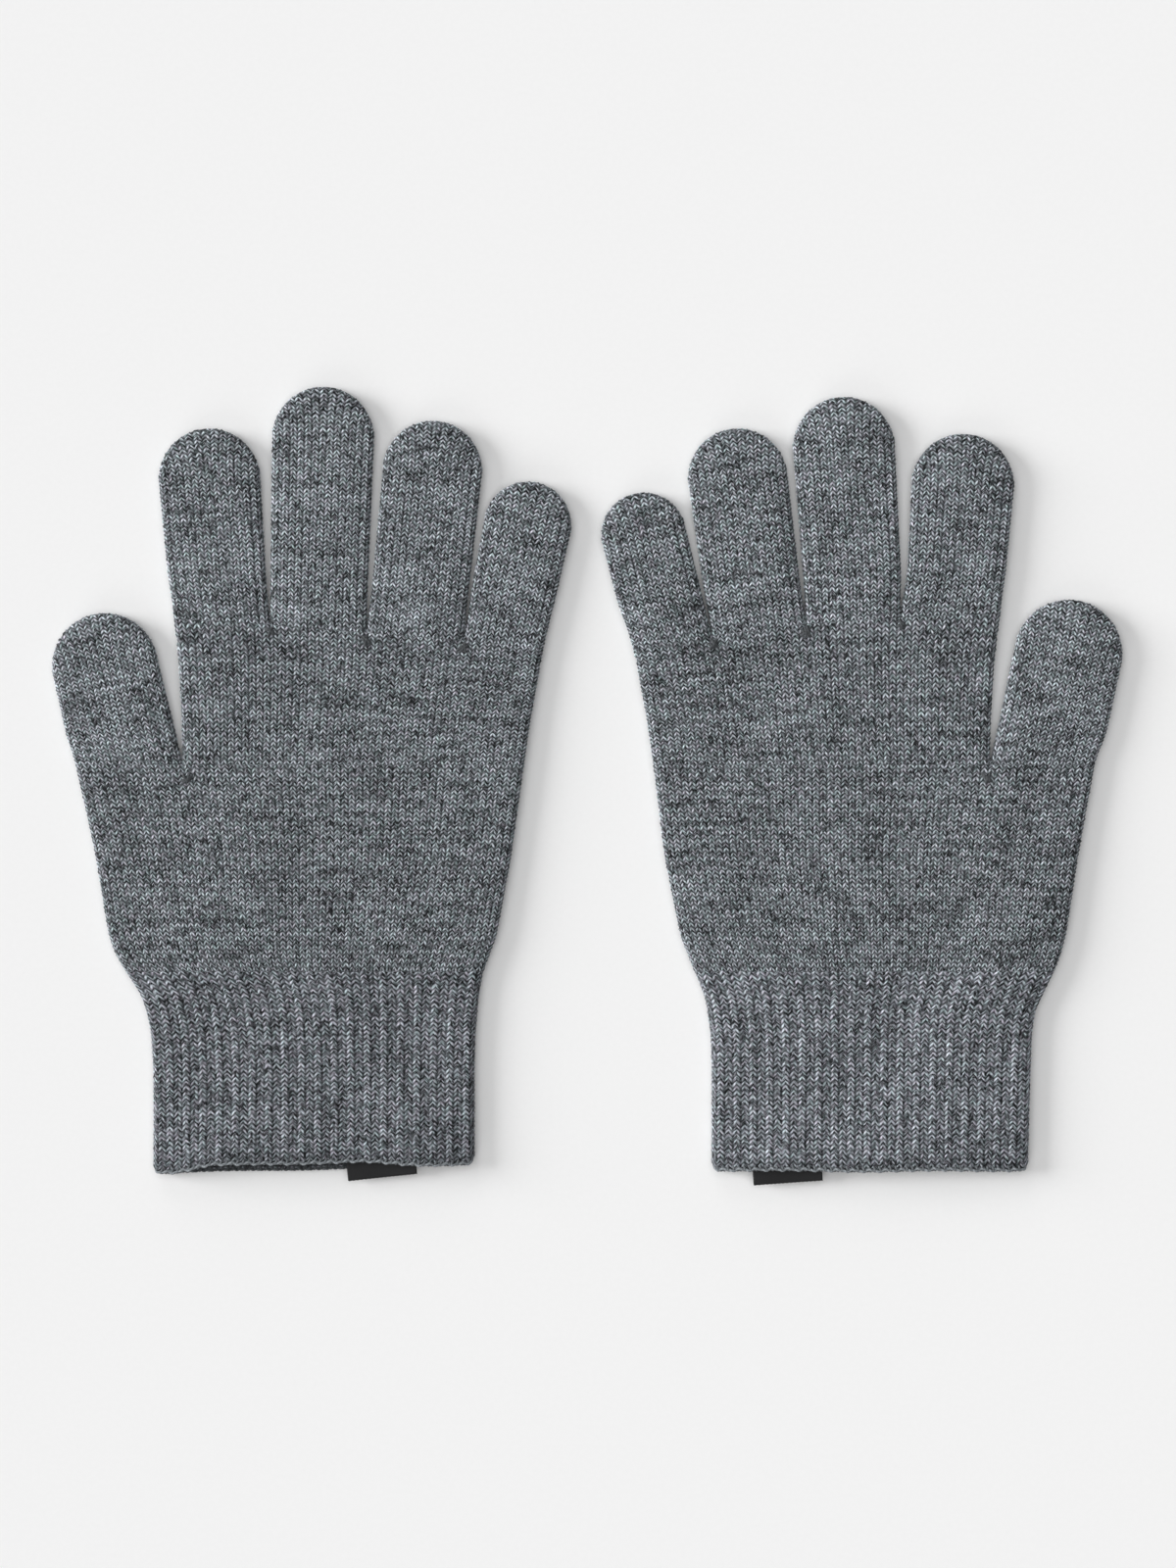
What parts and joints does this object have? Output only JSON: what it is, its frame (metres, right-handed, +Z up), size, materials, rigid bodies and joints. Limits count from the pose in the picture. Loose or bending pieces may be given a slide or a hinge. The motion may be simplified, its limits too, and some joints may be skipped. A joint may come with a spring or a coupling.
{
  "type": "knitted gloves",
  "caption": "Pair of fine machine-knitted gloves lying flat, with folding finger tubes, palms, ribbed cuffs with overlocked hems and a plain folded label.",
  "frame": {"origin": "middle of the pair's bounding box, on the surface the gloves lie on", "axes": "+X towards the right-hand glove, +Y towards the fingertips, +Z up, palms facing up"},
  "size_m": [0.2403, 0.1788, 0.0086],
  "materials": {
    "knit_yarn": "fine heather-grey jersey knit, matt and slightly fuzzy",
    "darn_yarn": "tied-off ends of the same yarn",
    "overlock_thread": "lighter overlock thread",
    "elastic": "covered elastic thread",
    "label_thread": "sewing thread",
    "label_ribbon": "black woven ribbon, plain, slight satin sheen"
  },
  "bodies": {
    "left_hand": {"left_four_finger_palm": "knit_yarn", "left_five_finger_palm": "knit_yarn", "left_crotch_darns": "darn_yarn"},
    "left_thumb": {"left_thumb": "knit_yarn"},
    "left_index_finger": {"left_index_finger": "knit_yarn"},
    "left_middle_finger": {"left_middle_finger": "knit_yarn"},
    "left_ring_finger": {"left_ring_finger": "knit_yarn"},
    "left_little_finger": {"left_little_finger": "knit_yarn"},
    "left_cuff": {"left_cuff": "knit_yarn", "left_cuff_elastic": "elastic", "left_cuff_hem": "overlock_thread", "left_label_stitches": "label_thread"},
    "left_label_flap": {"left_label": "label_ribbon"},
    "right_hand": {"right_four_finger_palm": "knit_yarn", "right_five_finger_palm": "knit_yarn", "right_crotch_darns": "darn_yarn"},
    "right_thumb": {"right_thumb": "knit_yarn"},
    "right_index_finger": {"right_index_finger": "knit_yarn"},
    "right_middle_finger": {"right_middle_finger": "knit_yarn"},
    "right_ring_finger": {"right_ring_finger": "knit_yarn"},
    "right_little_finger": {"right_little_finger": "knit_yarn"},
    "right_cuff": {"right_cuff": "knit_yarn", "right_cuff_elastic": "elastic", "right_cuff_hem": "overlock_thread", "right_label_stitches": "label_thread"},
    "right_label_flap": {"right_label": "label_ribbon"}
  },
  "joints": [
    {"name": "left_thumb_fold", "type": "hinge", "parent": "left_hand", "child": "left_thumb", "pos_m": [-0.1039, 0.0088, 0.004], "axis": [1, 0, 0], "range_deg": [0, 80]},
    {"name": "left_index_fold", "type": "hinge", "parent": "left_hand", "child": "left_index_finger", "pos_m": [-0.0828, 0.04252, 0.004], "axis": [0.9979, -0.0645, 0], "range_deg": [0, 90]},
    {"name": "left_middle_fold", "type": "hinge", "parent": "left_hand", "child": "left_middle_finger", "pos_m": [-0.0605, 0.04107, 0.004], "axis": [0.9979, -0.0645, 0], "range_deg": [0, 90]},
    {"name": "left_ring_fold", "type": "hinge", "parent": "left_hand", "child": "left_ring_finger", "pos_m": [-0.0383, 0.03964, 0.004], "axis": [0.9979, -0.0645, 0], "range_deg": [0, 90]},
    {"name": "left_little_fold", "type": "hinge", "parent": "left_hand", "child": "left_little_finger", "pos_m": [-0.0177, 0.03831, 0.004], "axis": [0.9979, -0.0645, 0], "range_deg": [0, 90]},
    {"name": "left_wrist_fold", "type": "hinge", "parent": "left_hand", "child": "left_cuff", "pos_m": [-0.0616, -0.048, 0.004], "axis": [-1, 0, 0], "range_deg": [0, 80]},
    {"name": "left_label_fold", "type": "hinge", "parent": "left_cuff", "child": "left_label_flap", "pos_m": [-0.046, -0.0863, 0.0027], "axis": [-0.9962, -0.0872, 0], "range_deg": [0, 60]},
    {"name": "right_glove_slide", "type": "slide", "parent": "left_hand", "child": "right_hand", "axis": [1, 0, 0], "range_m": [0, 0.1]},
    {"name": "right_thumb_fold", "type": "hinge", "parent": "right_hand", "child": "right_thumb", "pos_m": [0.1036, 0.0088, 0.004], "axis": [1, 0, 0], "range_deg": [0, 80]},
    {"name": "right_index_fold", "type": "hinge", "parent": "right_hand", "child": "right_index_finger", "pos_m": [0.0826, 0.0425, 0.004], "axis": [0.9979, 0.0645, 0], "range_deg": [0, 90]},
    {"name": "right_middle_fold", "type": "hinge", "parent": "right_hand", "child": "right_middle_finger", "pos_m": [0.0602, 0.04105, 0.004], "axis": [0.9979, 0.0645, 0], "range_deg": [0, 90]},
    {"name": "right_ring_fold", "type": "hinge", "parent": "right_hand", "child": "right_ring_finger", "pos_m": [0.038, 0.03962, 0.004], "axis": [0.9979, 0.0645, 0], "range_deg": [0, 90]},
    {"name": "right_little_fold", "type": "hinge", "parent": "right_hand", "child": "right_little_finger", "pos_m": [0.0175, 0.03829, 0.004], "axis": [0.9979, 0.0645, 0], "range_deg": [0, 90]},
    {"name": "right_wrist_fold", "type": "hinge", "parent": "right_hand", "child": "right_cuff", "pos_m": [0.064, -0.048, 0.004], "axis": [-1, 0, 0], "range_deg": [0, 80]},
    {"name": "right_label_fold", "type": "hinge", "parent": "right_cuff", "child": "right_label_flap", "pos_m": [0.046, -0.0863, 0.0027], "axis": [-0.9976, -0.0698, 0], "range_deg": [0, 60]}
  ]
}
